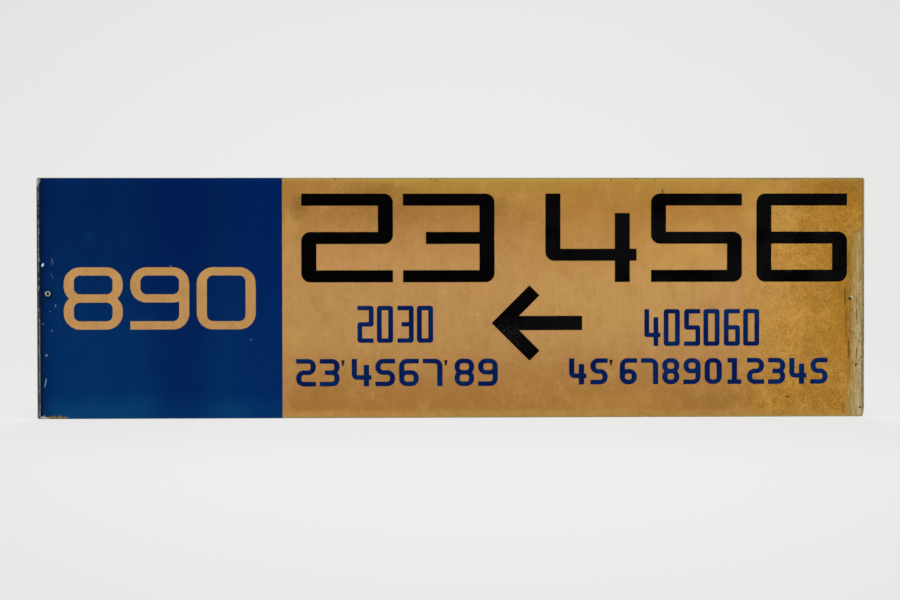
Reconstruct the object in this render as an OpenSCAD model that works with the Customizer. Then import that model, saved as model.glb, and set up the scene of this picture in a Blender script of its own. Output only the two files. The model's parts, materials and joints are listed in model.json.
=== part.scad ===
// Train destination board: a thin metal sheet that carries layers of cut film, standing upright.
// The origin is the centre of the back face. X runs along the board, Z is up and the face looks to -Y.

/* [Board] */
// Length of the board
board_w = 860; // [800:1:1100]
// Height of the board
board_h = 249.5; // [236:0.5:320]
// Thickness of the metal sheet
sheet_t = 2; // [1.4:0.1:4]
// Radius of the three sound corners
corner_r = 2.2; // [0.5:0.1:8]
// Length worn off the bottom edge at the lower right corner
worn_w = 1.8; // [1:0.1:8]
// Height worn off the right end at the lower right corner
worn_h = 10.5; // [8:0.5:30]
// How much flatter the worn corner's arc is than one that would leave the right end smoothly
worn_flat_ratio = 1.3; // [1.1:0.1:3]

/* [Films] */
// Thickness of the ground film on the face
ground_t = 0.2; // [0.1:0.05:0.5]
// Thickness of the back film
back_t = 0.2; // [0.1:0.05:0.5]
// Thickness of the cut films on top of the ground film
figure_t = 0.1; // [0.05:0.01:0.3]
// Bare metal above and below the ground and back films
film_edge = 0.5; // [0.2:0.1:2]
// Bare metal at each end of the ground and back films
film_end = 1.3; // [0.2:0.1:2.5]

/* [End holes] */
// Diameter of the holes drilled through the sheet and its films
hole_d = 3.3; // [3:0.1:5]
// Left hole, distance in from the left end
left_hole_in = 11.3; // [8:0.1:20]
// Left hole, height above the middle of the board
left_hole_up = 4.8; // [-20:0.1:20]
// Right hole, distance in from the right end
right_hole_in = 14.8; // [8:0.1:16]
// Right hole, height above the middle of the board
right_hole_up = -1.5; // [-20:0.1:20]

/* [Hollow rivet] */
// Diameter of the rivet's bore
rivet_bore_d = 2.3; // [1.6:0.1:2.6]
// Clearance round the rivet's shank and its flared tail
rivet_clearance = 0.05; // [0.02:0.01:0.1]
// Diameter of the rivet's rolled flange
flange_d = 6.2; // [5.4:0.1:9]
// Height of the rolled flange above the face
flange_h = 0.6; // [0.4:0.05:0.9]
// Depth of the tail's flare, which spreads by as much all round
flare = 0.8; // [0.4:0.05:1.2]
// How far the tail stops below the back face
tail_sunk = 0.05; // [0.02:0.01:0.2]

/* [Class panel] */
// Right edge of the blue panel, from the left end of the board
panel_w = 253; // [236:0.5:300]
// Left edge of the blue panel, from the left end of the board
panel_end = 3.1; // [2.5:0.1:6]
// Width of a cut-out figure
class_w = 61; // [45:0.5:68]
// Height of a cut-out figure
class_h = 64.5; // [50:0.5:90]
// Width of the cut-out figures' uprights
class_up = 10.6; // [6:0.1:16]
// Height of the cut-out figures' bars
class_bar = 8.6; // [5:0.1:12]
// Outer radius of the cut-out figures' bends
class_r = 17; // [4:0.5:18]
// Space between two cut-out figures
class_gap = 7.6; // [4:0.1:14]

/* [Large figures] */
// Width of a large figure
large_w = 95; // [70:0.5:106]
// Height of a large figure
large_h = 92; // [70:0.5:108]
// Width of the large figures' uprights
large_up = 15.6; // [10:0.1:22]
// Height of the large figures' bars
large_bar = 12.5; // [8:0.1:18]
// Outer radius of the large figures' bends
large_r = 9.4; // [3:0.1:14]
// Space between the two large figures on the left
left_gap = 10.5; // [4:0.1:24]
// Space between two large figures on the right
right_gap = 15.2; // [6:0.1:24]
// Margin between the top edge of the board and the large figures
large_top = 16.5; // [8:0.5:22]
// Space left of the left figures, as a share of the ground's length that the figures leave free
large_lead_share = 0.218; // [0.1:0.001:0.4]
// Space between the left and right figures, as a share of the same length
large_break_share = 0.582; // [0.3:0.001:0.75]

/* [Arrow] */
// Length of the arrow from its point to the end of its shaft
arrow_w = 94.3; // [70:0.1:110]
// Width of the arrow's bars
arrow_bar = 14.9; // [8:0.1:18]
// Length of each barb along its outer side
barb = 55.6; // [40:0.1:56]
// Arrow's middle line, below the bottom of the large figures
arrow_drop = 42.6; // [41:0.1:60]

/* [Small figures] */
// Width of a small figure, which is a pair of numerals
small_w = 37; // [28:0.1:40]
// Height of a small figure
small_h = 38.4; // [28:0.1:42]
// Width of the small figures' uprights
small_up = 5; // [3:0.1:6]
// Height of the small figures' bars
small_bar = 4.6; // [2.5:0.1:6]
// Outer radius of the small figures' bends
small_r = 3; // [0.5:0.1:5]
// Space between the two numerals of a small figure
small_split = 3.4; // [1.5:0.1:6]
// Space between two small figures
small_gap = 4.6; // [2:0.1:8]
// Space left of the left small figures, as a share of the ground's length that they and the arrow leave free
small_lead_share = 0.248; // [0.1:0.001:0.4]
// Space between the left small figures and the arrow, as a share of the same length
small_arrow_share = 0.194; // [0.1:0.001:0.3]
// Space between the arrow and the right small figures, as a share of the same length
arrow_small_share = 0.207; // [0.1:0.001:0.3]
// Top of the left small figures, below the bottom of the large figures
left_small_drop = 24.4; // [12:0.1:34]
// Top of the right small figures, below the bottom of the large figures
right_small_drop = 28.4; // [12:0.1:34]

/* [Lower rows] */
// Height of the left lower row
left_row_h = 28.5; // [20:0.1:34]
// Height of the right lower row
right_row_h = 27.2; // [20:0.1:34]
// Width of a numeral in the left lower row
left_row_w = 20.5; // [15:0.1:21]
// Width of a numeral in the right lower row
right_row_w = 18.1; // [15:0.1:19]
// Width of the lower rows' uprights
row_up = 5.5; // [3:0.1:6]
// Height of the lower rows' bars
row_bar = 4.8; // [2.5:0.1:5.5]
// Outer radius of the lower rows' bends
row_r = 8; // [2:0.1:9]
// Space between two numerals of a lower row
row_gap = 4.1; // [2:0.1:5]
// Space between two groups of a lower row, where a tick mark stands
row_break = 12.5; // [9:0.1:16]
// Space left of the left row, as a share of the ground's length that the two rows leave free
row_lead_share = 0.112; // [0.02:0.001:0.2]
// Space between the two rows, as a share of the same length
row_break_share = 0.586; // [0.5:0.001:0.8]
// Top of the lower rows, below the bottom of the large figures
row_drop = 79.5; // [78:0.1:90]

/* [Tick marks] */
// Width of a tick mark at its top
tick_w = 3.4; // [2:0.1:4.5]
// Width of a tick mark at its foot
tick_foot = 1.3; // [0.6:0.1:1.8]
// How far a tick mark's left side leans to the right
tick_lean = 0.8; // [0:0.1:1.5]
// Height of a tick mark
tick_h = 5.8; // [4:0.1:9]
// Middle of a tick mark, from the end of the group before it
tick_in = 3.6; // [3:0.1:5]
// How far a tick mark starts below the top of its row
tick_drop = 1.5; // [0:0.1:6]

/* [Hidden] */

$fn = 64;

// The least radius inside a bend, which is what the blade of a film cutter leaves
inner_r = 0.4;
// A cutting shape passes the face that it cuts by this much
spare = 1;

// Where two bends share a bar, each brings just over half of it
bend_share = 0.55;
// A 1's flag and foot, as shares of its upright's width and of its own width
one_flag_share = 0.8;
one_foot_share = 0.8;
// A 3's middle bar, as a share of the numeral's width
three_tongue_share = 0.75;
// A 4's foot and stem, as shares of its height, and its arm past the stem, as a share of the stem's width
four_foot_share = 0.24;
four_stem_share = 0.78;
four_arm_share = 0.45;

// The plain numbers on the board, in reading order
class_numbers = [8, 9, 0];
left_numbers = [2, 3];
right_numbers = [4, 5, 6];
// A lower row counts on from the first large figure above it, in groups of these lengths
left_groups = [2, 4, 2];
right_groups = [2, 10];

// Distance from the back face to the face of each layer
sheet_back = back_t;
sheet_front = sheet_back + sheet_t;
ground_front = sheet_front + ground_t;
figure_front = ground_front + figure_t;

left_end = -board_w / 2;
right_end = board_w / 2;
panel_edge = left_end + panel_w;
ground_w = board_w - panel_w;
large_z = board_h / 2 - large_top - large_h;
left_small_z = large_z - left_small_drop - small_h;
right_small_z = large_z - right_small_drop - small_h;
row_top = large_z - row_drop;
left_row_z = row_top - left_row_h;
right_row_z = row_top - right_row_h;
left_hole = [left_end + left_hole_in, left_hole_up];
right_hole = [right_end - right_hole_in, right_hole_up];

// The sum of the first values in a list
function sum(list, count) = count == 0 ? 0 : sum(list, count - 1) + list[count - 1];

// Length of a row of equal figures
function row_length(count, w, gap) = count * w + (count - 1) * gap;

// Left end of one group of a lower row, from the row's own left end
function group_start(groups, g, w) = sum([for (n = groups) row_length(n, w, row_gap) + row_break], g);

// Length of a lower row
function groups_length(groups, w) = group_start(groups, len(groups), w) - row_break;

// The lengths of the blocks along each line of the ground, and how each line shares out what they leave free
large_blocks = [row_length(len(left_numbers), large_w, left_gap),
    row_length(len(right_numbers), large_w, right_gap)];
large_shares = [large_lead_share, large_break_share];
small_blocks = [row_length(len(left_numbers), small_w, small_gap), arrow_w,
    row_length(len(right_numbers), small_w, small_gap)];
small_shares = [small_lead_share, small_arrow_share, arrow_small_share];
row_blocks = [groups_length(left_groups, left_row_w), groups_length(right_groups, right_row_w)];
row_shares = [row_lead_share, row_break_share];

// Left end of one block of a line, each with its share of the free length before it
function block_x(blocks, shares, i) =
    panel_edge + sum(blocks, i) + sum(shares, i + 1) * (ground_w - sum(blocks, len(blocks)));

// A flat shape drawn in X and Z, laid from one distance in front of the back face to another
module layer(from, to) {
    rotate([90, 0, 0]) translate([0, 0, from]) linear_extrude(to - from) children();
}

// A film that is cut out and stuck on the ground film
module cut_film() {
    layer(ground_front, figure_front) children();
}

// What a rounded corner at the origin leaves to be cut away
module corner_waste(r) {
    difference() {
        translate([-spare, -spare]) square(r + spare);
        translate([r, r]) circle(r);
    }
}

// A plate with its own radius on each corner: lower left, lower right, upper right, upper left
module plate(w, h, radii) {
    difference() {
        square([w, h]);
        for (c = [0:3])
            if (radii[c] > 0)
                translate([c == 1 || c == 2 ? w : 0, c > 1 ? h : 0]) rotate(90 * c) corner_waste(radii[c]);
    }
}

function outer_radius(w, h, r) = min(r, w / 2, h / 2);
function inner_radius(w, h, up, bar, r) = max(outer_radius(w, h, r) - max(up, bar), inner_r);

// The space that a closed loop of film goes round
module counter(w, h, up, bar, r) {
    inner = inner_radius(w, h, up, bar, r);
    translate([up, bar]) plate(w - 2 * up, h - 2 * bar, [inner, inner, inner, inner]);
}

// A closed loop: two uprights and two bars round a counter
module loop(w, h, up, bar, r) {
    outer = outer_radius(w, h, r);
    difference() {
        plate(w, h, [outer, outer, outer, outer]);
        counter(w, h, up, bar, r);
    }
}

// A bend: two bars joined by an upright on the right, open to the left
// low and high are how much of the lower and upper bars is kept, as a share of the width
module bend(w, h, up, bar, r, low = 1, high = 1) {
    outer = outer_radius(w, h, r);
    inner = inner_radius(w, h, up, bar, r);
    difference() {
        plate(w, h, [0, outer, outer, 0]);
        translate([-spare, bar]) plate(w - up + spare, h - 2 * bar, [0, inner, inner, 0]);
        if (low < 1) translate([-spare, -spare]) square([w * (1 - low) + spare, bar + 2 * spare]);
        if (high < 1) translate([-spare, h - bar - spare]) square([w * (1 - high) + spare, bar + 2 * spare]);
    }
}

// A figure drawn the other way round within its width
module flip(w) {
    translate([w, 0]) mirror([1, 0]) children();
}

// One plain numeral with its lower left corner at the origin
// up is the width of its uprights, bar the height of its bars and r the outer radius of its bends
module numeral(n, w, h, up, bar, r) {
    half = (h + bar) / 2;
    upper = h - half;
    if (n == 0) loop(w, h, up, bar, r);
    if (n == 1) {
        stem_x = (w - up) / 2;
        translate([stem_x, 0]) square([up, h]);
        translate([stem_x - one_flag_share * up, h - bar]) square([one_flag_share * up + up, bar]);
        translate([(1 - one_foot_share) * w / 2, 0]) square([one_foot_share * w, bar]);
    }
    if (n == 2) {
        translate([0, upper]) bend(w, half, up, bar, r, low = bend_share);
        flip(w) bend(w, half, up, bar, r, high = bend_share);
    }
    if (n == 3) {
        translate([0, upper]) bend(w, half, up, bar, r, low = three_tongue_share);
        bend(w, half, up, bar, r, high = three_tongue_share);
    }
    if (n == 4) {
        bar_z = four_foot_share * h;
        translate([0, bar_z]) difference() {
            plate(w, h - bar_z, [min(r, up), 0, 0, 0]);
            translate([up, bar]) square([w, h]);
        }
        translate([w - (1 + four_arm_share) * up, 0]) square([up, four_stem_share * h]);
    }
    if (n == 5) {
        translate([0, upper]) flip(w) bend(w, half, up, bar, r, low = bend_share);
        bend(w, half, up, bar, r, high = bend_share);
    }
    if (n == 6) {
        flip(w) bend(w, h, up, bar, r, low = bend_share);
        loop(w, half, up, bar, r);
    }
    if (n == 7) difference() {
        plate(w, h, [0, 0, outer_radius(w, h, r), 0]);
        translate([-spare, -spare])
            plate(w - up + spare, h - bar + spare, [0, 0, inner_radius(w, h, up, bar, r), 0]);
    }
    if (n == 8) {
        translate([0, upper]) loop(w, half, up, bar, r);
        loop(w, half, up, bar, r);
    }
    if (n == 9) {
        bend(w, h, up, bar, r, high = bend_share);
        translate([0, upper]) loop(w, half, up, bar, r);
    }
}

// The counters of one numeral, which are loose pieces when the numeral is cut out of a film
module numeral_counters(n, w, h, up, bar, r) {
    half = (h + bar) / 2;
    if (n == 0) counter(w, h, up, bar, r);
    if (n == 6 || n == 8) counter(w, half, up, bar, r);
    if (n == 8 || n == 9) translate([0, h - half]) counter(w, half, up, bar, r);
}

// The board's outline, drawn in from both ends and from the top and bottom edges
module outline(end = 0, edge = 0) {
    w = board_w - 2 * end;
    h = board_h - 2 * edge;
    r = max(corner_r - edge, inner_r);
    // The worn corner is an arc from the bottom edge to the right end
    chord = norm([worn_w, worn_h]);
    worn_r = worn_flat_ratio * chord * chord / (2 * worn_w);
    sag_run = sqrt(worn_r * worn_r - chord * chord / 4) / chord;
    translate([-w / 2, -h / 2]) difference() {
        plate(w, h, [r, 0, r, r]);
        translate([w, 0]) difference() {
            translate([-worn_w - spare, -spare]) square([worn_w + 2 * spare, worn_h + 2 * spare]);
            translate([-worn_w / 2 - sag_run * worn_h, worn_h / 2 + sag_run * worn_w]) circle(worn_r);
        }
    }
}

// Both end holes, to be cut through a layer
module end_holes() {
    for (hole = [left_hole, right_hole]) translate(hole) circle(d = hole_d);
}

// A turned shape set on the left hole's axis, its foot at the back face
module on_left_hole() {
    translate([left_hole[0], 0, left_hole[1]]) rotate([90, 0, 0]) rotate_extrude() children();
}

// The countersink at the back of the left hole, which holds the rivet's flared tail
module countersink() {
    on_left_hole() polygon([[0, -spare], [hole_d / 2 + flare, -spare], [hole_d / 2 + flare, 0],
        [hole_d / 2, flare], [0, flare]]);
}

module core_sheet() {
    color("silver") difference() {
        layer(sheet_back, sheet_front) difference() {
            outline();
            end_holes();
        }
        countersink();
    }
}

module ground_film() {
    color("peru") layer(sheet_front, ground_front) difference() {
        outline(film_end, film_edge);
        end_holes();
    }
}

module back_film() {
    color("darkkhaki") difference() {
        layer(0, sheet_back) difference() {
            outline(film_end, film_edge);
            end_holes();
        }
        countersink();
    }
}

// Places each cut-out figure of the class panel, centred on the panel and on the board's height
module each_class_figure() {
    row_w = row_length(len(class_numbers), class_w, class_gap);
    for (i = [0:len(class_numbers) - 1]) {
        $number = class_numbers[i];
        translate([left_end + (panel_w - row_w) / 2 + i * (class_w + class_gap), -class_h / 2]) children();
    }
}

module class_panel() {
    r = max(corner_r - film_edge, inner_r);
    color("navy") cut_film() difference() {
        translate([left_end + panel_end, film_edge - board_h / 2])
            plate(panel_w - panel_end, board_h - 2 * film_edge, [r, 0, 0, r]);
        each_class_figure() {
            numeral($number, class_w, class_h, class_up, class_bar, class_r);
            numeral_counters($number, class_w, class_h, class_up, class_bar, class_r);
        }
        translate(left_hole) circle(d = hole_d);
    }
}

module panel_counters() {
    color("navy") cut_film() each_class_figure()
        numeral_counters($number, class_w, class_h, class_up, class_bar, class_r);
}

// One large figure of a block that starts at x
module large_figure(numbers, i, x, gap) {
    color("black") cut_film() translate([x + i * (large_w + gap), large_z])
        numeral(numbers[i], large_w, large_h, large_up, large_bar, large_r);
}

module left_large(i) {
    large_figure(left_numbers, i, block_x(large_blocks, large_shares, 0), left_gap);
}

module right_large(i) {
    large_figure(right_numbers, i, block_x(large_blocks, large_shares, 1), right_gap);
}

module left_large_1() { left_large(0); }
module left_large_2() { left_large(1); }
module right_large_1() { right_large(0); }
module right_large_2() { right_large(1); }
module right_large_3() { right_large(2); }

module arrow() {
    reach = barb * cos(45);
    step = arrow_bar * cos(45);
    half = arrow_bar / 2;
    color("black") cut_film() translate([block_x(small_blocks, small_shares, 1), large_z - arrow_drop])
        polygon([[0, 0], [reach, reach], [reach + step, reach - step], [half + 2 * step, half],
            [arrow_w, half], [arrow_w, -half], [half + 2 * step, -half],
            [reach + step, step - reach], [reach, -reach]]);
}

// One small figure of a block that starts at x: the number of the large figure above it, then a nought
module small_figure(numbers, i, x, z) {
    numeral_w = (small_w - small_split) / 2;
    color("midnightblue") cut_film() translate([x + i * (small_w + small_gap), z]) {
        numeral(numbers[i], numeral_w, small_h, small_up, small_bar, small_r);
        translate([numeral_w + small_split, 0])
            numeral(0, numeral_w, small_h, small_up, small_bar, small_r);
    }
}

module left_small(i) {
    small_figure(left_numbers, i, block_x(small_blocks, small_shares, 0), left_small_z);
}

module right_small(i) {
    small_figure(right_numbers, i, block_x(small_blocks, small_shares, 2), right_small_z);
}

module left_small_1() { left_small(0); }
module left_small_2() { left_small(1); }
module right_small_1() { right_small(0); }
module right_small_2() { right_small(1); }
module right_small_3() { right_small(2); }

// A lower row that starts at x, of numerals that count on from its first number
module lower_row(first, groups, x, z, w, h) {
    color("midnightblue") cut_film() translate([x, z])
        for (g = [0:len(groups) - 1])
            for (i = [0:groups[g] - 1])
                translate([group_start(groups, g, w) + i * (w + row_gap), 0])
                    numeral((first + sum(groups, g) + i) % 10, w, h, row_up, row_bar, row_r);
}

module left_row() {
    lower_row(left_numbers[0], left_groups, block_x(row_blocks, row_shares, 0), left_row_z, left_row_w,
        left_row_h);
}

module right_row() {
    lower_row(right_numbers[0], right_groups, block_x(row_blocks, row_shares, 1), right_row_z,
        right_row_w, right_row_h);
}

// The tick marks in the breaks of a lower row that starts at x, each narrowing to its foot
module row_ticks(groups, x, w) {
    translate([x, row_top - tick_drop])
        for (g = [1:len(groups) - 1])
            translate([group_start(groups, g, w) - row_break + tick_in - tick_w / 2, 0])
                polygon([[0, 0], [tick_lean, -tick_h], [tick_lean + tick_foot, -tick_h], [tick_w, 0]]);
}

module tick_marks() {
    color("black") cut_film() {
        row_ticks(left_groups, block_x(row_blocks, row_shares, 0), left_row_w);
        row_ticks(right_groups, block_x(row_blocks, row_shares, 1), right_row_w);
    }
}

// A hollow rivet: a rolled flange on the face, a shank through the hole and a tail flared flush behind
module left_rivet() {
    bore = rivet_bore_d / 2;
    shank = hole_d / 2 - rivet_clearance;
    roll_w = flange_d / 2 - bore;
    roll_r = (roll_w * roll_w / 4 + flange_h * flange_h) / (2 * flange_h);
    spread = flare - tail_sunk;
    color("gainsboro") on_left_hole() {
        polygon([[bore + spread, tail_sunk], [shank + spread, tail_sunk], [shank, flare],
            [shank, figure_front], [bore, figure_front], [bore, flare]]);
        intersection() {
            translate([bore, figure_front]) square([roll_w, flange_h]);
            translate([bore + roll_w / 2, figure_front + flange_h - roll_r]) circle(roll_r);
        }
    }
}

core_sheet();
ground_film();
back_film();
class_panel();
panel_counters();
left_large_1();
left_large_2();
right_large_1();
right_large_2();
right_large_3();
arrow();
left_small_1();
left_small_2();
right_small_1();
right_small_2();
right_small_3();
left_row();
right_row();
tick_marks();
left_rivet();
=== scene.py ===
import json
import math

import bmesh
import bpy
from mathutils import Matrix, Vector


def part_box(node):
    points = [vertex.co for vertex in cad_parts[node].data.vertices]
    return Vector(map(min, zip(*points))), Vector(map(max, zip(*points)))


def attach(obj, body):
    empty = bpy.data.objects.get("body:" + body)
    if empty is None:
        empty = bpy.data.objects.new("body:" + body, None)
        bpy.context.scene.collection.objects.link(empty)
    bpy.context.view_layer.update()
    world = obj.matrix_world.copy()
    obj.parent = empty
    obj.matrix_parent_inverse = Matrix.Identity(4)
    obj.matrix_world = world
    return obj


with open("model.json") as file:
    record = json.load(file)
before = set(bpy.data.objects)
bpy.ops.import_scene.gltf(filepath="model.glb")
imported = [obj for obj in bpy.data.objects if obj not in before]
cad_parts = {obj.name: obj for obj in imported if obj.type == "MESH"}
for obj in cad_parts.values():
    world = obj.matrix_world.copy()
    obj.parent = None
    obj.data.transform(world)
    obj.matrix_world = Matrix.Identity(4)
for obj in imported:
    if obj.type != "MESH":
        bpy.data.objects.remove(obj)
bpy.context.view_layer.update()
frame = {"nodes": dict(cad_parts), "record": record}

# Core sheet
# One flat sheet of aluminium, sheared to size with its corners just eased and a small hole drilled near each
# end. It shows only as a thin bare rim round the films, and there it is grimy and scuffed, with painted
# shade mixed into the grime down its right end.

sheet_low, sheet_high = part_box("core_sheet")
half_length = sheet_high.x
half_height = sheet_high.z


class Wire:
    """One value, colour or vector on its way through a finish, so that finishes read as sums."""

    def __init__(self, socket):
        self.socket = socket

    def node(self, kind, settings, sockets, out=0):
        """Any node: its settings are set first, then the values or links of its sockets."""
        tree = self.socket.id_data
        new = tree.nodes.new("ShaderNode" + kind)
        for name, value in settings.items():
            setattr(new, name, value)
        for name, value in sockets.items():
            if isinstance(value, Wire):
                tree.links.new(value.socket, new.inputs[name])
            else:
                new.inputs[name].default_value = value
        return Wire(new.outputs[out])

    def maths(self, operation, *values):
        return self.node("Math", {"operation": operation}, dict(enumerate(values)))

    def __add__(self, other):
        return self.maths("ADD", self, other)

    __radd__ = __add__

    def __sub__(self, other):
        return self.maths("SUBTRACT", self, other)

    def __rsub__(self, other):
        return self.maths("SUBTRACT", other, self)

    def __mul__(self, other):
        return self.maths("MULTIPLY", self, other)

    __rmul__ = __mul__

    def __pow__(self, other):
        return self.maths("POWER", self, other)

    def __abs__(self):
        return self.maths("ABSOLUTE", self)

    def at_least(self, other):
        return self.maths("MAXIMUM", self, other)

    def at_most(self, other):
        return self.maths("MINIMUM", self, other)

    def rise(self, low, high):
        """0 below low and 1 above high, or the other way round where low is the greater."""
        return self.node("MapRange", {"interpolation_type": "SMOOTHSTEP"}, {0: self, 1: low, 2: high})

    def into(self, shader, name):
        shader.id_data.links.new(self.socket, shader.inputs[name])


def paint(red, green, blue):
    """A colour as a screen shows it, from 0 to 255, turned into the light it reflects."""
    share = [c / 255 for c in (red, green, blue)]
    return tuple(c / 12.92 if c < 0.04045 else ((c + 0.055) / 1.055) ** 2.4 for c in share) + (1,)


def lay_over(under, over, cover):
    """One colour laid over another, as far as cover says."""
    return cover.node("Mix", {"data_type": "RGBA"}, {0: cover, 6: under, 7: over}, out=2)


def shade(colour, amount):
    """A colour made lighter or darker by an amount about 1."""
    grey = amount.node("CombineColor", {}, {0: amount, 1: amount, 2: amount})
    multiply = {"data_type": "RGBA", "blend_type": "MULTIPLY"}
    return amount.node("Mix", multiply, {0: 1.0, 6: colour, 7: grey}, out=2)


def finish(name, pieces, roughness, sheen):
    """A new material on some pieces: its shader, and where each of its points lies on the board."""
    material = bpy.data.materials.new(name)
    material.use_nodes = True
    for piece in pieces:
        if piece.material_slots:
            piece.material_slots[0].material = material
        else:
            piece.data.materials.append(material)
    shader = material.node_tree.nodes["Principled BSDF"]
    shader.inputs["Roughness"].default_value = roughness
    shader.inputs["Specular IOR Level"].default_value = sheen
    return shader, Wire(material.node_tree.nodes.new("ShaderNodeTexCoord").outputs["Object"])


def across(where, axes=(0, 2)):
    """How far a point lies from the middle on each axis: along the board and up it, where none is given."""
    return [where.node("SeparateXYZ", {}, {0: where}, out=axis) for axis in axes]


def emboss(shader, height, strength, depth=0.0002):
    """Fine relief in a surface, which catches the light as its height varies."""
    relief = {"Height": height, "Strength": strength, "Distance": depth}
    height.node("Bump", {}, relief).into(shader, "Normal")


def clouds(where, size, detail=3.0, stretch=(1, 1, 1), offset=0.0, roughness=0.55):
    """Soft noise about 0.5 whose patches are about size across, drawn out along an axis by stretch."""
    drawn = where.node("VectorMath", {"operation": "DIVIDE"}, {0: where, 1: [size * s for s in stretch]})
    moved = where.node("VectorMath", {"operation": "ADD"}, {0: drawn, 1: (offset, offset, offset)})
    sockets = {"Vector": moved, "Scale": 1.0, "Detail": detail, "Roughness": roughness}
    return where.node("TexNoise", {}, sockets)


def spot(x, z, at, size, edge=1.0):
    """1 in the middle of an oval mark, fading to 0 at its rim over a share of its size."""
    far = ((x - at[0]) * (1 / size[0])) ** 2.0 + ((z - at[1]) * (1 / size[1])) ** 2.0
    return far.rise(1.0, 1.0 - edge)


shader, where = finish("grimy_sheet", [frame["nodes"]["core_sheet"]], 0.45, 0.3)
x, z = across(where)
grain = clouds(where, 0.0004, stretch=(30, 1, 1))
grime = clouds(where, 0.006, 5.0)
soiled = grime.rise(0.3, 0.55)
colour = shade(paint(190, 187, 176), grain.rise(0.0, 1.0) * 0.3 + 0.85)
colour = lay_over(colour, paint(158, 138, 92), soiled * 0.9)
# painted shade mixed with grime: the right rim darker, most of all low down
right_rim_shade_and_grime = x.rise(0.4270, 0.4286) * z.rise(0.10, 0.0)
colour = lay_over(colour, paint(104, 90, 54), right_rim_shade_and_grime * (0.22 + grime.rise(0.35, 0.60) * 0.45))
over_panel = x.rise(-0.176, -0.178) * abs(z).rise(0.1232, 0.1240)
colour = lay_over(colour, paint(38, 56, 84), over_panel * 0.75)
green_end = x.rise(-0.418, -half_length)
verdigris = lay_over(paint(66, 72, 58), paint(0, 14, 14), (z + grime * 0.06).rise(0.02, 0.07))
colour = lay_over(colour, verdigris, green_end * 0.95)
chipped = spot(x + grime * 0.001, z + grime * 0.002, (-0.4300, 0.1215), (0.0026, 0.0056), 0.5)
colour = lay_over(colour, paint(176, 175, 170), chipped * 0.9)
colour.into(shader, "Base Color")
((0.8 - soiled * 0.7) * (1.0 - green_end)).into(shader, "Metallic")
(0.35 + grime * 0.35).into(shader, "Roughness")
emboss(shader, grain, 0.2)

# Ground film
# One sheet of amber film, stuck on the face to just short of its edges. It is browner above and below, the
# sun has turned its right golden, and the holder kept a strip of the right end paler.

bare_rim = 0.0012
film_edge = half_height - bare_rim
strip_from, strip_to, strip_top = 0.4124, 0.4236, 0.068
ground_blots = [
    # middle along and up, half width, half height, strength
    (0.050, 0.094, 0.011, 0.015, 0.22),
    (-0.160, 0.094, 0.012, 0.019, 0.45),
    (-0.085, 0.112, 0.045, 0.010, 0.26),
    (-0.070, 0.094, 0.090, 0.028, 0.20),
    (0.356, 0.001, 0.011, 0.012, 0.12),
    (0.390, 0.005, 0.020, 0.024, 0.12),
    (0.280, -0.107, 0.060, 0.018, 0.15),
    (0.404, 0.115, 0.034, 0.016, 0.34),
    (0.418, -0.1068, 0.003, 0.003, 0.60),
    (0.4020, 0.004, 0.006, 0.018, 0.32),
    (0.366, 0.096, 0.015, 0.013, 0.15),
    (0.0305, 0.096, 0.013, 0.012, 0.20),
]
ground_fades = [
    # the same, for the paler places
    (0.150, -0.006, 0.120, 0.044, 0.20),
    (0.240, 0.040, 0.080, 0.050, 0.22),
    (0.256, 0.060, 0.030, 0.022, 0.40),
    (0.328, 0.090, 0.042, 0.034, 0.36),
    (0.090, 0.100, 0.048, 0.015, 0.14),
    (0.170, -0.110, 0.075, 0.013, 0.16),
    (-0.167, 0.078, 0.013, 0.020, 0.26),
    (-0.166, -0.045, 0.016, 0.020, 0.20),
]


def scratch(x, z, start, end, width):
    """A straight scratch from start to end that thins out at both ends."""
    run = (end[0] - start[0], end[1] - start[1])
    length = math.hypot(*run)
    along = ((x - start[0]) * run[0] + (z - start[1]) * run[1]) * (1 / length ** 2)
    aside = abs((x - start[0]) * (run[1] / length) - (z - start[1]) * (run[0] / length))
    taper = along.rise(0.0, 0.3) * along.rise(1.0, 0.6)
    return (aside + (1.0 - taper) * width).rise(width, width * 0.3)


shader, where = finish("aged_ground", [frame["nodes"]["ground_film"]], 0.36, 0.25)
x, z = across(where)
drift = clouds(where, 0.11, 5.0) - 0.5
ragged = clouds(where, 0.012, 4.0) - 0.5
torn = clouds(where, 0.004, 4.0, offset=2.0) - 0.5

# browner along the top and the bottom, more yellow where the top lay open to the sun
level = z * (0.5 / half_height) + 0.5 + drift * 0.1 + ragged * 0.03
faded = level.rise(0.04, 0.38) * level.rise(0.93, 0.60)
colour = lay_over(paint(166, 118, 58), paint(188, 142, 85), faded)
open_top = x.rise(-0.14, -0.01) * x.rise(0.385, 0.300)
colour = lay_over(colour, paint(177, 137, 58), level.rise(0.87, 1.0) * (0.2 + open_top * 0.6))

# golden to the right, and amber next to the strip
sun = (x - z * 0.25 + drift * 0.20 + ragged * 0.06).rise(0.28, 0.37)
golden = lay_over(paint(168, 120, 46), paint(193, 144, 66), level.rise(0.06, 0.34) * level.rise(0.92, 0.72))
golden = lay_over(golden, paint(174, 136, 68), level.rise(0.84, 1.0) * open_top)
colour = lay_over(colour, golden, sun)
amber = (x + drift * 0.03 + ragged * 0.02).rise(0.350, 0.390)
amber = amber * ((z + drift * 0.1).rise(-0.115, -0.04) * 0.6 + 0.4)
colour = lay_over(colour, paint(150, 104, 12), amber * 0.63)
singed = (x + ragged * 0.02).rise(0.402, 0.411) * z.rise(-0.06, -0.02) * z.rise(0.078, 0.060)
colour = lay_over(colour, paint(136, 100, 22), singed * 0.6)

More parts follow.
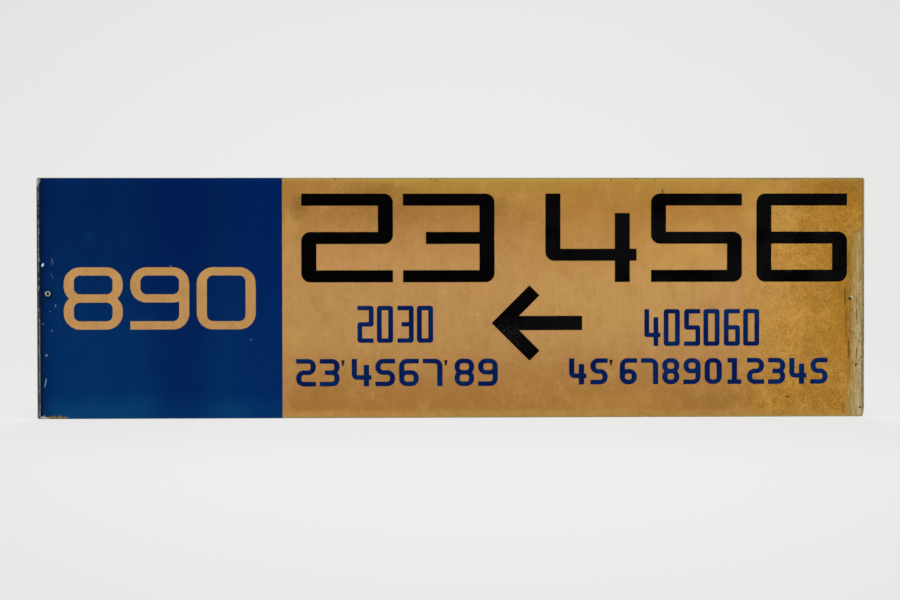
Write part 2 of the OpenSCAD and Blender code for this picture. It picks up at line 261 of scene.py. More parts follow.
# blots, faded places and mottling
for patches, tint in ((ground_blots, paint(112, 76, 32)), (ground_fades, paint(214, 170, 92))):
    for at_x, at_z, wide, high, strength in patches:
        patch = spot(x + ragged * wide, z + ragged * high, (at_x, at_z), (wide, high))
        colour = lay_over(colour, tint, patch * strength)
beside = x.rise(-0.165, -0.174) * z.rise(0.03, -0.03)
colour = lay_over(colour, paint(190, 142, 92), beside * 0.3)
mottled = clouds(where, 0.022, 6.0, stretch=(1, 1, 1.3), offset=17.0, roughness=0.85)
colour = lay_over(colour, paint(146, 98, 44), mottled.rise(0.50, 0.66) * 0.26)
colour = lay_over(colour, paint(212, 166, 104), mottled.rise(0.50, 0.34) * 0.26)
wept = clouds(where, 0.0036, 4.0, stretch=(1, 1, 6), offset=18.0, roughness=0.7)
colour = lay_over(colour, paint(150, 100, 42), wept.rise(0.54, 0.74) * 0.22)

# grain, from beds of it down to its fibres, coarser in the sun
grains = clouds(where, 0.0015, offset=3.0)
beds = clouds(where, 0.008, offset=9.0)
streaks = clouds(where, 0.0016, stretch=(1, 1, 40), offset=5.0)
fibres = clouds(where, 0.0008, offset=7.0)
rough_sun = sun * (z.rise(0.112, 0.086) * 0.55 + 0.45)
mottle = rough_sun * 0.3 + 0.09
foot = z.rise(0.0095 - film_edge, 0.0034 - film_edge)
colour = lay_over(colour, paint(186, 141, 71), foot * (0.65 - x.rise(0.13, 0.21) * 0.30 + ragged * 2.0))
head = z.rise(film_edge - 0.0034, film_edge - 0.0020)
colour = lay_over(colour, paint(181, 149, 62), head * (0.35 + open_top * 0.3 + ragged * 1.5))
colour = lay_over(colour, paint(140, 90, 22), grains.rise(0.45, 0.75) * mottle * 1.9)
colour = lay_over(colour, paint(206, 160, 72), grains.rise(0.55, 0.25) * mottle * 1.6)
colour = lay_over(colour, paint(200, 147, 50), beds.rise(0.5, 0.7) * rough_sun * 0.35)
colour = lay_over(colour, paint(158, 106, 30), beds.rise(0.5, 0.3) * rough_sun * 0.35)
brushed = clouds(where, 0.0007, 4.0, stretch=(9, 1, 1), offset=19.0)
colour = lay_over(colour, paint(132, 88, 24), brushed.rise(0.52, 0.75) * rough_sun * 0.35)
blooms = clouds(where, 0.030, 4.0, offset=45.0, roughness=0.7)
open_sun = rough_sun * x.rise(0.406, 0.388)
colour = lay_over(colour, paint(214, 164, 78), blooms.rise(0.50, 0.66) * open_sun * 0.26)
colour = lay_over(colour, paint(146, 98, 26), blooms.rise(0.50, 0.36) * open_sun * 0.24)
warmer = x.rise(0.06, 0.12) * x.rise(0.345, 0.300) * z.rise(0.020, 0.045) * z.rise(0.112, 0.098)
colour = lay_over(colour, paint(190, 136, 52), warmer * 0.22)
glazed = x.rise(0.391, 0.399) * abs(z + 0.008).rise(0.075, 0.045)
colour = lay_over(colour, paint(164, 114, 18), glazed * 0.28)
tone = 0.90 + beds * 0.06 + streaks * 0.07 + fibres * 0.07

# the strip that the holder covered: washed out and streaked, with a ragged darker border
down = z.rise(-0.058, -0.080) * 0.0010 + z.rise(-0.082, -0.098) * 0.0024
hidden = (x + down + torn * 0.004 + ragged * 0.005 - z * 0.010).rise(strip_from, strip_to)
hidden = hidden * (z + ragged * 0.06 + torn * 0.02).rise(strip_top + 0.006, strip_top - 0.010)
border = hidden.rise(0.02, 0.22) * hidden.rise(0.80, 0.40) * z.rise(-0.105, -0.080)
colour = lay_over(colour, paint(134, 106, 34), border * 0.45)
washed = clouds(where, 0.006, 5.0, stretch=(1, 1, 3), offset=10.0)
strip_streaks = clouds(where, 0.0010, 4.0, stretch=(1, 1, 16), offset=11.0)
strip = lay_over(paint(166, 140, 80), paint(178, 157, 104), (washed - z * 1.2).rise(0.40, 0.66))
strip = lay_over(strip, paint(152, 120, 58), (washed - z * 0.8).rise(0.46, 0.28) * 0.75)
olive = (x + torn * 0.003).rise(0.4240, 0.4195) * (z + torn * 0.03).rise(-0.040, -0.066)
strip = lay_over(strip, paint(158, 130, 56), olive * (0.35 + z.rise(-0.095, -0.080) * 0.40))
for at_z, high, strength in ((0.0050, 0.009, 0.55), (-0.0530, 0.019, 0.60), (-0.0940, 0.007, 0.60)):
    paler = spot(x, z + torn * high, (0.4172, at_z), (0.0070, high))
    strip = lay_over(strip, paint(196, 168, 108), paler * strength)
strip = lay_over(strip, paint(204, 188, 140), strip_streaks.rise(0.46, 0.30) * 0.6)
strip = lay_over(strip, paint(108, 84, 36), strip_streaks.rise(0.53, 0.66) * 0.7)
crumbs = clouds(where, 0.0014, stretch=(1.6, 1, 1), offset=12.0)
strip = lay_over(strip, paint(112, 88, 40), crumbs.rise(0.54, 0.68) * 0.55)
ticks = clouds(where, 0.0008, stretch=(4, 1, 1), offset=46.0)
strip = lay_over(strip, paint(96, 76, 36), ticks.rise(0.56, 0.70) * x.rise(0.4170, 0.4230) * 0.5)
chalked = (x + ragged * 0.004).rise(0.4195, 0.4240) * (z + ragged * 0.08).rise(0.000, -0.030)
strip = lay_over(strip, paint(190, 172, 136), chalked * (0.45 - crumbs * 0.3))
colour = lay_over(colour, strip, hidden)

# fine cracks, flecks and dark lines in the strip
rib = where.node("VectorMath", {"operation": "MULTIPLY"}, {0: where, 1: (260, 1, 190)})
crazed = where.node("TexVoronoi", {"feature": "DISTANCE_TO_EDGE"}, {"Scale": 1.0, "Vector": rib})
cracks = crazed.rise(0.09, 0.02) * spot(x, z, (0.4225, -0.024), (0.010, 0.028), 0.6)
colour = lay_over(colour, paint(104, 84, 50), cracks * torn.rise(-0.08, 0.10) * 0.6)
low_strip = (z + ragged * 0.05).rise(-0.110, -0.085) * (z + ragged * 0.05).rise(-0.015, -0.045)
flecks = clouds(where, 0.0010, stretch=(1, 1, 3.5), offset=13.0)
flecked = flecks.rise(0.54, 0.64) * x.rise(0.4205, 0.4265)
colour = lay_over(colour, paint(70, 58, 36), flecked * low_strip * 0.8)
dashes = clouds(where, 0.0030, stretch=(0.4, 1, 1), offset=14.0)
for at, wide, strength in ((0.4219, 0.0006, 0.5), (0.4278, 0.0012, 0.90)):
    line = abs(x - at + torn * 0.003).rise(wide, wide * 0.3)
    colour = lay_over(colour, paint(84, 68, 40), line * low_strip * dashes.rise(0.46, 0.56) * strength)
for at, top, wide in ((0.4122, 0.062, 0.0005), (0.4150, 0.060, 0.0006)):
    line = abs(x - at + torn * 0.004).rise(wide, wide * 0.3) * (z + torn * 0.05).rise(top, top - 0.02)
    colour = lay_over(colour, paint(112, 80, 14), line * streaks.rise(0.3, 0.55) * 0.6)
shifted = x + torn * 0.0016
for start, end, width, strength in (
    # the film's crease along the strip, in three lengths, and the rubs beside it
    ((0.4097, 0.0150), (0.4098, -0.0150), 0.0012, 0.90),
    ((0.4107, -0.0030), (0.4110, -0.0500), 0.0011, 0.50),
    ((0.4138, -0.0380), (0.4138, -0.0720), 0.0013, 0.95),
    ((0.4136, 0.0560), (0.4136, 0.0130), 0.0016, 0.30),
    ((0.4082, -0.1060), (0.4082, -0.1250), 0.0013, 0.50),
    ((0.4159, 0.0100), (0.4160, 0.0030), 0.0010, 0.75),
    ((0.4219, -0.0080), (0.4219, -0.0280), 0.0010, 0.70),
    ((0.4219, -0.0500), (0.4219, -0.0680), 0.0010, 0.80),
    ((0.4120, -0.0320), (0.4205, -0.0400), 0.0007, 0.80),
):
    crease = scratch(shifted, z, start, end, width)
    colour = lay_over(colour, paint(92, 66, 10), crease * strength)
for at, size in (
    # small dark spots, most of them in the strip
    ((0.4213, -0.0706), (0.0014, 0.0026)),
    ((0.4259, -0.1150), (0.0018, 0.0016)),
    ((0.3495, -0.1038), (0.0024, 0.0014)),
    ((0.4139, -0.0010), (0.0011, 0.0018)),
    ((0.4180, -0.0690), (0.0008, 0.0008)),
):
    colour = lay_over(colour, paint(46, 36, 18), spot(x + torn * 0.002, z, at, size, 0.8) * 0.9)
dots = where.node("TexVoronoi", {"feature": "F1"}, {"Vector": where, "Scale": 120.0})
picked = clouds(where, 0.02, 2.0, offset=15.0)
colour = lay_over(colour, paint(96, 66, 30), dots.rise(0.085, 0.04) * picked.rise(0.56, 0.62) * 0.7)

# the film's long edges darkened with painted shade, more of it along the top right, and nicked along the top
rim = abs(z).rise(film_edge - 0.0013, film_edge - 0.0003)
colour = lay_over(colour, paint(160, 138, 82), rim * 0.75)
# a band of painted shade along the top edge, heavier on the right
top_edge_shade = z.rise(film_edge - 0.0022, film_edge - 0.0008) * (x + drift * 0.1).rise(0.27, 0.33)
colour = lay_over(colour, paint(122, 100, 56), top_edge_shade * (0.40 + torn * 1.5))
nicks = clouds(where, 0.0022, 2.0, offset=16.0).rise(0.68, 0.74) * (x + drift * 0.5).rise(-0.05, 0.05)
nicks = nicks * z.rise(film_edge - 0.0030, film_edge - 0.0010)
for at, size in (
    # nicks in the top edge
    ((-0.1217, 0.1238), (0.0013, 0.0018)),
    ((-0.0222, 0.1236), (0.0012, 0.0013)),
    ((-0.0170, 0.1219), (0.0012, 0.0014)),
    ((-0.0082, 0.1242), (0.0012, 0.0008)),
    ((0.1651, 0.1225), (0.0013, 0.0014)),
    ((0.1917, 0.1240), (0.0032, 0.0009)),
    ((0.2100, 0.1228), (0.0013, 0.0012)),
    ((0.3554, 0.1237), (0.0012, 0.0010)),
    ((0.4247, 0.1212), (0.0014, 0.0012)),
):
    nicks = nicks.at_least(spot(x + torn * 0.003, z, at, size))
nicks = nicks.at_least(scratch(x, z, (0.2186, 0.1150), (0.2184, 0.1050), 0.0017))
colour = lay_over(colour, paint(92, 70, 38), nicks * 0.8)
# two pale flecks left of the arrow
for at, size in (((0.0256, -0.0173), 0.0018), ((0.0110, -0.0330), 0.0011)):
    colour = lay_over(colour, paint(220, 184, 130), spot(x + torn * 0.002, z, at, (size, size)) * 0.45)
# painted shade with dirt down the right end, and the thin left end beside the blue panel, rubbed bare in
# places
right_end_shade_and_dirt = (x + torn * 0.001).rise(half_length - 0.0034, half_length - 0.0018)
colour = lay_over(colour, paint(116, 94, 50), right_end_shade_and_dirt * 0.7)
left_end = x.rise(-0.4266, -0.4272)
bared = (ragged * 1.3 + torn * 0.6 - z * 1.3).rise(-0.06, 0.40)
glint = x.rise(-0.4277, -0.4282) * (0.20 + z.rise(0.02, 0.05) * 0.32 + torn * 2.6)
low_end = z.rise(-0.016, -0.030)
bared = (bared * (1.0 - low_end * x.rise(-0.4276, -0.4282) * 0.6) + glint * (1.0 - low_end)).rise(0.0, 1.0)
bared = bared.at_least(low_end * x.rise(-0.4281, -0.4275) * (0.68 + torn * 1.6))
bared = bared.at_least(spot(x + torn * 0.001, z, (-0.4290, 0.1215), (0.0022, 0.0050), 0.5))
colour = lay_over(colour, lay_over(paint(0, 28, 44), paint(140, 148, 144), bared), left_end)
shade(colour, tone).into(shader, "Base Color")
(0.33 + beds * 0.08 + hidden * 0.2).into(shader, "Roughness")
skin = fibres * 0.4 + streaks * 0.6 + grains * sun
emboss(shader, skin, 0.12, 0.0003)

# Back film
# A sheet of the ground's own stock, stuck on the hidden side. It never faced the sun, so it keeps a paler
# khaki, and it is rubbed along its length by the wall or holder behind it.

shader, where = finish("back_covering", [frame["nodes"]["back_film"]], 0.5, 0.3)
x, z = across(where)
drift = clouds(where, 0.16, offset=21.0)
soil = clouds(where, 0.02, 5.0, offset=25.0)
rubs = clouds(where, 0.0012, 4.0, stretch=(60, 1, 1), offset=23.0)
colour = lay_over(paint(188, 178, 144), paint(178, 166, 128), drift.rise(0.35, 0.7))
bands = clouds(where, 0.03, stretch=(14, 1, 1), offset=27.0)
colour = lay_over(colour, paint(168, 154, 114), bands.rise(0.5, 0.72) * 0.5)
worn_ends = abs(x).rise(half_length - 0.022, half_length - 0.012)
colour = lay_over(colour, paint(150, 134, 92), worn_ends * (0.35 + soil * 0.6))
edge_dirt = abs(z).rise(half_height - 0.018, half_height) * 0.6
edge_dirt = edge_dirt + abs(x).rise(half_length - 0.012, half_length) * 0.5
colour = lay_over(colour, paint(112, 96, 64), (edge_dirt * soil).rise(0.10, 0.42) * 0.75)
colour = lay_over(colour, paint(206, 199, 172), rubs.rise(0.60, 0.75) * drift.rise(0.30, 0.55) * 0.6)
colour = lay_over(colour, paint(112, 98, 68), rubs.rise(0.38, 0.27) * 0.45)
scuffs = spot(x, z, (0.36, 0.0), (0.001, 0.001))
for start, end, width in (
    # scuffs from years of handling
    ((-0.310, 0.062), (-0.245, 0.048), 0.0007),
    ((-0.302, 0.055), (-0.262, 0.047), 0.0004),
    ((-0.050, -0.071), (0.034, -0.058), 0.0006),
    ((0.140, 0.083), (0.172, 0.031), 0.0005),
    ((0.290, -0.040), (0.352, -0.049), 0.0008),
    ((0.300, -0.047), (0.338, -0.052), 0.0004),
    ((-0.180, -0.098), (-0.131, -0.104), 0.0005),
):
    scuffs = scuffs.at_least(scratch(x, z + (soil - 0.5) * 0.004, start, end, width))
colour = lay_over(colour, paint(222, 218, 200), scuffs * soil.rise(0.3, 0.6) * 0.75)
stains = clouds(where, 0.006, 4.0, offset=29.0).rise(0.68, 0.76)
colour = lay_over(colour, paint(132, 112, 72), stains * drift.rise(0.42, 0.6) * 0.5)
shade(colour, 0.95 + clouds(where, 0.0008, 2.0) * 0.1).into(shader, "Base Color")
(0.45 + drift * 0.15 + scuffs * 0.15).into(shader, "Roughness")
skin = rubs - scuffs * 0.6
emboss(shader, skin, 0.15)

# Class panel and its counters
# Deep blue cut film stuck over the left end, with three figures knocked out so that the ground shows
# through. The loose islands in the figures are of the same film. Its left end is nicked and scratched.

mounts = {m["name"]: m for m in frame["record"]["mounts"]}
left_hole = Vector(mounts["left_hole"]["pos_m"])
panel_nodes = [frame["nodes"]["class_panel"], frame["nodes"]["panel_counters"]]
shader, where = finish("blue_film", panel_nodes, 0.26, 0.13)
x, z = across(where)
drift = clouds(where, 0.09, 4.0, offset=31.0) - 0.5
wipes = clouds(where, 0.0016, stretch=(1, 1, 50), offset=33.0)
haze = clouds(where, 0.035, 5.0, offset=35.0)
ragged = clouds(where, 0.0022, 4.0, offset=37.0) - 0.5
level = z * (0.5 / half_height) + 0.5 + drift * 0.08
colour = lay_over(paint(0, 31, 79), paint(1, 46, 97), level.rise(0.95, 0.10))
colour = lay_over(colour, paint(0, 38, 90), level.rise(0.95, 1.0) * 0.5)
colour = lay_over(colour, paint(4, 61, 108), level.rise(0.12, 0.02) * 0.9)
colour = lay_over(colour, paint(0, 20, 78), abs(x + 0.283 + drift * 0.06).rise(0.055, 0.01) * 0.5)
colour = lay_over(colour, paint(0, 30, 96), (x + drift * 0.05).rise(-0.24, -0.2) * 0.45)
outward = x + drift * 0.1
colour = lay_over(colour, paint(14, 60, 100), haze.rise(0.55, 0.78) * outward.rise(-0.28, -0.36) * 0.4)
colour = lay_over(colour, paint(20, 64, 104), wipes.rise(0.55, 0.78) * outward.rise(-0.30, -0.37) * 0.3)
colour = lay_over(colour, paint(0, 22, 62), (x + drift * 0.02).rise(-0.408, -0.424) * 0.5)
colour = lay_over(colour, paint(0, 18, 42), x.rise(-0.4215, -0.4268) * 0.85)
colour = shade(colour, 0.95 + wipes * 0.1)
marks = scratch(x, z, (-0.4205, -0.0805), (-0.4229, -0.0955), 0.0006)
for start, end, width in (
    # fine scratches near the left end
    ((-0.4155, 0.0440), (-0.4125, 0.0350), 0.0003),
    ((-0.4135, 0.0430), (-0.4165, 0.0335), 0.0003),
    ((-0.4120, 0.0400), (-0.4150, 0.0320), 0.0003),
    ((-0.4160, 0.0270), (-0.4125, 0.0190), 0.0003),
    ((-0.4108, -0.0050), (-0.4110, -0.0100), 0.0005),
    ((-0.4195, -0.0800), (-0.4222, -0.0930), 0.0003),
):
    marks = marks.at_least(scratch(x, z, start, end, width) * (width / 0.0006))
for at, size in (
    # pinpoint chips
    ((-0.4167, -0.0135), 0.0008),
    ((-0.4238, -0.0263), 0.0009),
    ((-0.4146, -0.0332), 0.0010),
    ((-0.4204, -0.0588), 0.0017),
    ((-0.2095, -0.0431), 0.0009),
    ((-0.2922, 0.0334), 0.0008),
):
    marks = marks.at_least(spot(x + ragged * 0.001, z, at, (size, size)) * 0.8)
chip = spot(x + ragged * 0.0020 - (z - 0.0347) * 0.3, z, (-0.4240, 0.0347), (0.0012, 0.0022), 0.5)
corner = spot(x + ragged * 0.0020, z + ragged * 0.003, (-0.4275, 0.1225), (0.0018, 0.0045), 0.7)
# a painted shadow round the raised rivet, on the blue film
rivet_shadow = spot(x + ragged * 0.001, z, (left_hole.x, left_hole.z), (0.0056, 0.0056), 0.5)
colour = lay_over(colour, paint(0, 12, 34), rivet_shadow * 0.7)
colour = lay_over(colour, paint(140, 160, 184), marks * 0.75)
colour = lay_over(colour, paint(200, 204, 224), chip * 0.95)
colour = lay_over(colour, paint(128, 138, 140), corner * 0.7)
torn = clouds(where, 0.0030, 5.0, offset=39.0) - 0.5
rubbed = spot(x + torn * 0.010, z + torn * 0.009, (-0.4100, -0.1258), (0.0135, 0.0054), 0.25)
bared = lay_over(paint(124, 108, 50), paint(64, 56, 34), torn.rise(-0.02, 0.12))
colour = lay_over(colour, bared, rubbed * 0.95)
pale = spot(x + torn * 0.006, z + torn * 0.006, (-0.4235, -0.1255), (0.0060, 0.0040), 0.3)
colour = lay_over(colour, paint(168, 176, 160), pale * 0.9)
colour.into(shader, "Base Color")
(0.23 + haze * 0.1 + marks * 0.2).into(shader, "Roughness")
skin = wipes * 0.5 - marks * 0.5 - chip
emboss(shader, skin, 0.15)

# Large figures and arrow
# Black cut film, one piece for each figure and one for the arrow, stuck on the ground. The black is deep,
# with a little dust in its grain and a few pale rubs on the arrow's head.

black_nodes = ["left_large_1", "left_large_2", "right_large_1", "right_large_2", "right_large_3", "arrow"]
shader, where = finish("black_film", [frame["nodes"][n] for n in black_nodes], 0.26, 0.13)
x, z = across(where)
dust = clouds(where, 0.0009, offset=41.0)
drift = clouds(where, 0.05, 4.0, offset=43.0)
greyed = drift.rise(0.34, 0.62) * (x.rise(-0.02, 0.10) * 0.75 + 0.15)
colour = lay_over(paint(0, 0, 0), paint(10, 10, 12), greyed)
colour = lay_over(colour, paint(58, 52, 44), dust.rise(0.62, 0.8) * 0.4)
rub = spot(x + drift * 0.01, z, (0.062, -0.040), (0.018, 0.022)) * dust.rise(0.6, 0.7)
colour = lay_over(colour, paint(120, 112, 98), rub * 0.8)
colour.into(shader, "Base Color")
(0.23 + drift * 0.1).into(shader, "Roughness")
emboss(shader, dust, 0.06)

# Small figures and lower rows
# Blue cut film, a shade deeper than the panel's, cut as numerals and stuck on one by one. Age has dulled
# it a little, and it holds some pale dust.

blue_nodes = ["left_small_1", "left_small_2", "right_small_1", "right_small_2", "right_small_3"]
blue_nodes += ["left_row", "right_row"]
shader, where = finish("figure_blue", [frame["nodes"][n] for n in blue_nodes], 0.28, 0.16)
drift = clouds(where, 0.04, 4.0, offset=51.0)
dust = clouds(where, 0.0009, offset=53.0)
colour = lay_over(paint(0, 23, 78), paint(3, 36, 90), drift.rise(0.38, 0.62))
colour = lay_over(colour, paint(8, 24, 58), clouds(where, 0.0030, offset=57.0).rise(0.50, 0.70) * 0.5)
colour = lay_over(colour, paint(74, 78, 92), dust.rise(0.64, 0.82) * 0.5)
colour.into(shader, "Base Color")
(0.25 + drift * 0.1).into(shader, "Roughness")
emboss(shader, dust, 0.06)

# Tick marks
# Small wedges of cut black film, stuck on by hand in the breaks of the lower rows. They have greyed more
# than the large figures, and hold the same dust.

shader, where = finish("tick_black", [frame["nodes"]["tick_marks"]], 0.28, 0.2)
dust = clouds(where, 0.0009, offset=61.0)
lay_over(paint(20, 18, 26), paint(60, 54, 52), dust.rise(0.6, 0.8) * 0.6).into(shader, "Base Color")
emboss(shader, dust, 0.06)

# Left hollow rivet
# A short tube of soft metal with a rolled flange on the face, which lines the left hole. Its plating has
# dulled to a chalky grey, with dirt and painted shade at the bore's edge and under the roll, and a dark disc
# across the bore that stands in for the shade inside it.

left_hole_r = mounts["left_hole"]["dims"]["r_mm"] / 1000
shader, where = finish("dull_rivet", [frame["nodes"]["left_rivet"]], 0.5, 0.5)
x, z = across(where)
from_axis = ((x - left_hole.x) ** 2.0 + (z - left_hole.z) ** 2.0) ** 0.5
pits = clouds(where, 0.0005, 4.0, offset=71.0)
colour = lay_over(paint(168, 174, 166), paint(104, 110, 102), pits.rise(0.42, 0.66))
# dirt and painted shade: dark at the bore's edge and under the flange's roll
dirt_and_shade = from_axis.rise(0.0018, 0.0013)
dirt_and_shade = dirt_and_shade.at_least(from_axis.rise(0.0025, 0.0030) * 0.85)
colour = lay_over(colour, paint(30, 30, 30), dirt_and_shade * 0.92)
colour.into(shader, "Base Color")
(0.7 - dirt_and_shade * 0.6).into(shader, "Metallic")
(0.42 + pits * 0.25).into(shader, "Roughness")
emboss(shader, pits, 0.35)


def added(name, data):
    """A new object in the scene."""
    piece = bpy.data.objects.new(name, data)
    bpy.context.scene.collection.objects.link(piece)
    return piece


def smooth_piece(name, mesh):
    """A finished mesh as a smooth piece in the scene, with its faces all looking outward."""
    bmesh.ops.recalc_face_normals(mesh, faces=mesh.faces)
    piece = added(name, bpy.data.meshes.new(name))
    mesh.to_mesh(piece.data)
    mesh.free()
    for face in piece.data.polygons:
        face.use_smooth = True
    return piece


def round_hole(middle, turn, out, back):
    """The place at a turn round a hole and a way out from its middle, set back into the board."""
    return middle.x + out * math.cos(turn), middle.y + back, middle.z + out * math.sin(turn)


def bridge(mesh, before, after):
    """Faces from one closed ring of points to the next."""
    for k in range(len(before)):
        mesh.faces.new((before[k - 1], before[k], after[k], after[k - 1]))


def hole_shade_disc(name, middle, radius, thick, colours):
    """A dark disc across a hole that stands in for the shade inside it: thin, and sunk in the middle."""
    rings, turns = 6, 32
    middle_half, rim_half = thick * 0.2, thick * 0.5
    slow_wobble, fast_wobble = 0.12, 0.08
    rims = []
    mesh = bmesh.new()
    for side in (-1, 1):
        centre = mesh.verts.new((middle.x, middle.y + side * middle_half, middle.z))
        last = None
        for i in range(1, rings + 1):
            half = middle_half + (rim_half - middle_half) * (i / rings) ** 2
            ring = []
            for k in range(turns):
                turn = 2 * math.pi * k / turns
                wobble = 1 + slow_wobble * math.sin(3 * turn + i) + fast_wobble * math.sin(7 * turn + 2 * i)
                ring.append(mesh.verts.new(round_hole(middle, turn, radius * i / rings, side * half * wobble)))
            if last:
                bridge(mesh, last, ring)
            else:
                for k in range(turns):
                    mesh.faces.new((centre, ring[k - 1], ring[k]))
            last = ring
        rims.append(last)
    bridge(mesh, *rims)
    disc = smooth_piece(name, mesh)
    shader, where = finish(name, [disc], 0.8, 0.2)
    crumbs = clouds(where, 0.0005, 4.0, offset=75.0)
    lay_over(*colours, crumbs.rise(0.4, 0.7)).into(shader, "Base Color")
    emboss(shader, crumbs, 0.5)
    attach(disc, "root")


# a dark disc across the left bore, standing in for the shade inside it
snug = 0.999
sunk = Vector((left_hole.x, sheet_low.y * 0.45, left_hole.z))
left_disc_tones = (paint(22, 20, 15), paint(70, 60, 36))
hole_shade_disc("left_hole_shade_disc", sunk, left_hole_r * snug, 0.0005, left_disc_tones)

# Raised lip at the right hole
# The right hole has no rivet. Whatever hung through it has dragged the metal up into a bright lip round
# the hole's upper right, highest in the middle and worn away to almost nothing at both ends.

right_hole = Vector(mounts["right_hole"]["pos_m"])
right_hole_r = mounts["right_hole"]["dims"]["r_mm"] / 1000
lip_from, lip_to = math.radians(-25), math.radians(112)
lip_w, lip_h, lip_ends = 0.0013, 0.00045, 0.08
inner_rise, outer_rise = 1.25, 0.75
lip_steps, lip_sides = 28, 9
ground_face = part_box("ground_film")[0].y
lip_middle = Vector((right_hole.x, ground_face, right_hole.z))

mesh = bmesh.new()
rings = []
for i in range(lip_steps + 1):
    turn = lip_from + (lip_to - lip_from) * i / lip_steps
    swell = lip_ends + (1 - lip_ends) * math.sin(math.pi * i / lip_steps) ** 0.8
    ring = []
    for k in range(lip_sides + 1):
        bend = math.pi * k / lip_sides
        out = right_hole_r + lip_w * swell * (1 - math.cos(bend)) / 2
        lean = inner_rise + (outer_rise - inner_rise) * k / lip_sides
        up = lip_h * swell * math.sin(bend) * lean
        ring.append(mesh.verts.new(round_hole(lip_middle, turn, out, -up)))
    rings.append(ring)
for before, after in zip(rings, rings[1:]):
    bridge(mesh, before, after)
mesh.faces.new(rings[0])
mesh.faces.new(list(reversed(rings[-1])))
lip = smooth_piece("right_hole_lip", mesh)
shader, where = finish("bright_lip", [lip], 0.35, 0.5)
pits = clouds(where, 0.0005, 4.0, offset=81.0)
lay_over(paint(210, 207, 192), paint(150, 140, 108), pits.rise(0.45, 0.75)).into(shader, "Base Color")
shader.inputs["Metallic"].default_value = 0.5
(0.3 + pits * 0.2).into(shader, "Roughness")
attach(lip, "root")

# a paler dark disc across the right hole, standing in for the shade inside it
sunk = Vector((right_hole.x, sheet_low.y * 0.8, right_hole.z))
right_disc_tones = (paint(48, 40, 20), paint(92, 76, 40))
hole_shade_disc("right_hole_shade_disc", sunk, right_hole_r * snug, 0.0006, right_disc_tones)

# Floor and studio
# A plain pale floor and a backdrop of the same tone, with painted shade dulling them towards their rims, and
# soft lamps far out on both sides, above and behind. The room in front is dim, so that the dark films stay
# deep.

paper, shaded_paper = paint(237, 237, 236), paint(227, 227, 225)
dim_felt, felt = paint(60, 60, 60), paint(224, 225, 225)
side_fall, near_fall = 4.4, 10.0
dullest, duller_near = 0.52, 0.45
floor_reach = 7.0
corners = ((-1, -1), (1, -1), (1, 1), (-1, 1))
floor = added("floor", bpy.data.meshes.new("floor"))
places = [(x * floor_reach, y * floor_reach, sheet_low.z) for x, y in corners]
floor.data.from_pydata(places, [], [(0, 1, 2, 3)])
material = bpy.data.materials.new("pale_floor")
material.use_nodes = True
tree = material.node_tree
tree.nodes.clear()
where = Wire(tree.nodes.new("ShaderNodeTexCoord").outputs["Object"])
x, y = across(where, (0, 1))
far = (x * x + y * y) ** 0.5
seen = where.node("LightPath", {}, {}, out="Is Camera Ray")
mirrored = where.node("LightPath", {}, {}, out="Is Glossy Ray") * y.rise(-0.1, 0.1)
lit = lay_over(dim_felt, felt, seen.at_least(y.rise(0.0, 0.06)))
matt = where.node("BsdfDiffuse", {}, {"Color": lit})
# painted shade dulls the paper by the square of the way out, faster in front of the board, and then no
# further
near = y.rise(0.0, -1.0)
outer = x * x * (near * near_fall + side_fall) + y * y
tone = lay_over(paper, shaded_paper, (outer * 0.5).at_most(near * duller_near + dullest))
glow = where.node("Emission", {}, {"Color": tone, "Strength": 1.0})
share = seen.at_least(mirrored) * (0.8 + far.rise(0.5, 1.6) * 0.2)
mixed = where.node("MixShader", {}, {0: share, 1: matt, 2: glow})
tree.links.new(mixed.socket, tree.nodes.new("ShaderNodeOutputMaterial").inputs["Surface"])
floor.data.materials.append(material)

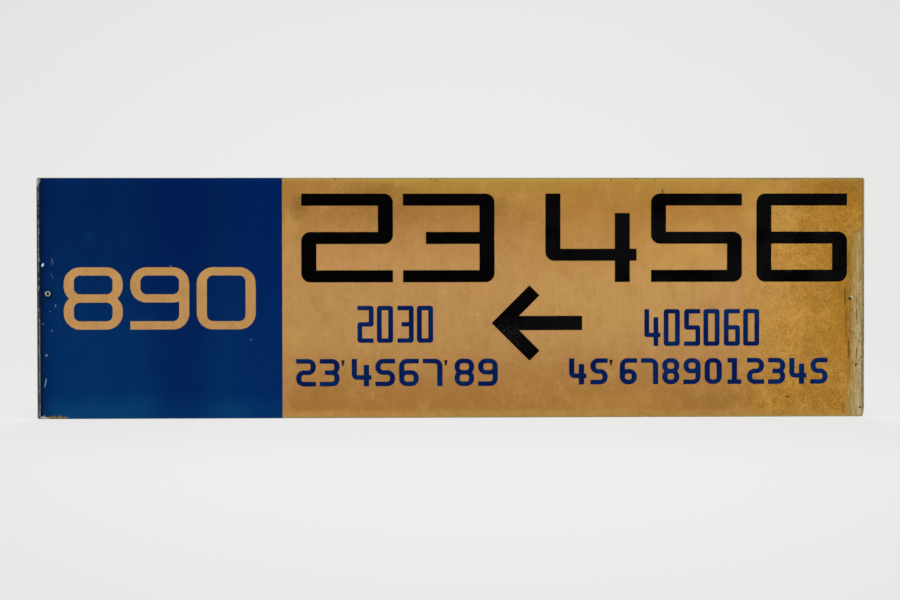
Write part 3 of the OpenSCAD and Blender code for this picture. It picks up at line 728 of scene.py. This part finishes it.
world = bpy.data.worlds.new("studio")
world.use_nodes = True
bpy.context.scene.world = world
tree = world.node_tree
tree.nodes.clear()
seen = Wire(tree.nodes.new("ShaderNodeLightPath").outputs["Is Camera Ray"])
glossy = seen.node("LightPath", {}, {}, out="Is Glossy Ray")
through = seen.node("LightPath", {}, {}, out="Is Transmission Ray")
aim = seen.node("TexCoord", {}, {}, out="Generated")
aside, ahead, above = across(aim, (0, 1, 2))
behind = ahead.rise(-0.1, 0.4)
shown = seen.at_least((glossy + through) * behind)
strength = shown.at_least(0.05 + behind * 0.3)
brightest_at, wide_fall, high_fall, duller_high = 0.023, 4.1, 6.3, 3.2
# the backdrop gets the same painted shade towards its rims, round its brightest point
outer = ((aside - brightest_at) * wide_fall) ** 2.0 + (above * high_fall) ** 2.0
tone = lay_over(paper, shaded_paper, (outer * 0.5).at_most(above * duller_high + dullest) * shown)
backdrop = seen.node("Background", {}, {"Color": tone, "Strength": strength})
tree.links.new(backdrop.socket, tree.nodes.new("ShaderNodeOutputWorld").inputs["Surface"])

for name, place, size, power in (
    ("left_lamp", (-2.6, -1.15, 0.4), 1.2, 77.0),
    ("right_lamp", (2.6, -1.15, 0.4), 1.2, 77.0),
    ("top_lamp", (0.0, -1.0, 2.2), 1.2, 37.0),
    ("back_lamp", (0.0, 2.4, 1.6), 1.8, 60.0),
):
    lamp = added(name, bpy.data.lights.new(name, "AREA"))
    lamp.data.energy = power
    lamp.data.size = size
    lamp.location = place
    lamp.rotation_euler = (-Vector(place)).to_track_quat("-Z", "Y").to_euler()

# Camera
# Almost square on, a touch left of the middle and a touch above it, as the board was photographed, with a
# 70 mm lens at 1.8 m, and rolled by less than a tenth of a degree.

distance, turn, tilt, roll = 1.8189, math.radians(-1.34), math.radians(0.869), math.radians(0.085)
aim_x, aim_z = -0.00293, -0.00226
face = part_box("core_sheet")[0].y
camera = added("camera", bpy.data.cameras.new("camera"))
camera.data.lens = 70
camera.data.sensor_width = 36
away = distance * math.cos(tilt)
camera.location = (aim_x + away * math.sin(turn), face - away * math.cos(turn),
                   aim_z + distance * math.sin(tilt))
camera.rotation_euler = (math.pi / 2 - tilt, roll, turn)
bpy.context.scene.camera = camera
bpy.context.scene.view_settings.view_transform = "Standard"
